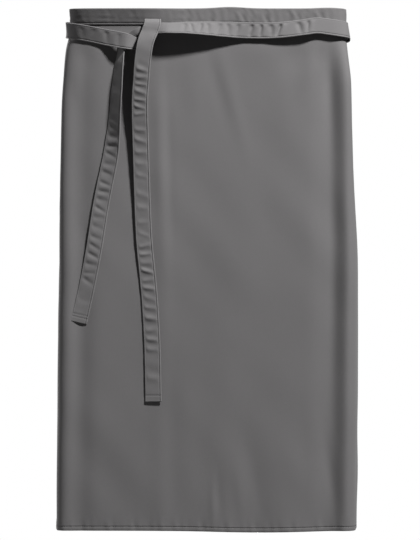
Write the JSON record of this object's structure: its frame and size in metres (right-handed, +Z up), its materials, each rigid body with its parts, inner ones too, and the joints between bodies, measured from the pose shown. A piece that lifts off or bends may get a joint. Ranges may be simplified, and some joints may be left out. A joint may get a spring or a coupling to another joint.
{
  "type": "waist apron",
  "caption": "Long waist apron of grey cloth, wrapped as worn and open at the back, with ties knotted at the front.",
  "frame": {"origin": "middle of the waist opening, at half the height of the waistband", "axes": "+Z up, +X to the right of the front view, and the front faces -Y"},
  "size_m": [0.4661, 0.2062, 0.8022],
  "materials": {
    "twill": "matt grey cotton twill",
    "twill_band": "matt grey cotton twill, folded double",
    "twill_hem": "matt grey cotton twill, turned in",
    "twill_tie": "matt grey cotton tape"
  },
  "bodies": {
    "root": {"apron_panel": "twill", "waistband_front": "twill_band", "waistband_side_left": "twill_band", "waistband_side_right": "twill_band", "waistband_back_left": "twill_band", "waistband_back_right": "twill_band", "bottom_hem": "twill_hem", "side_hem_left": "twill_hem", "side_hem_right": "twill_hem", "tie_short_tail": "twill_tie", "tie_long_tail": "twill_tie"}
  },
  "joints": []
}
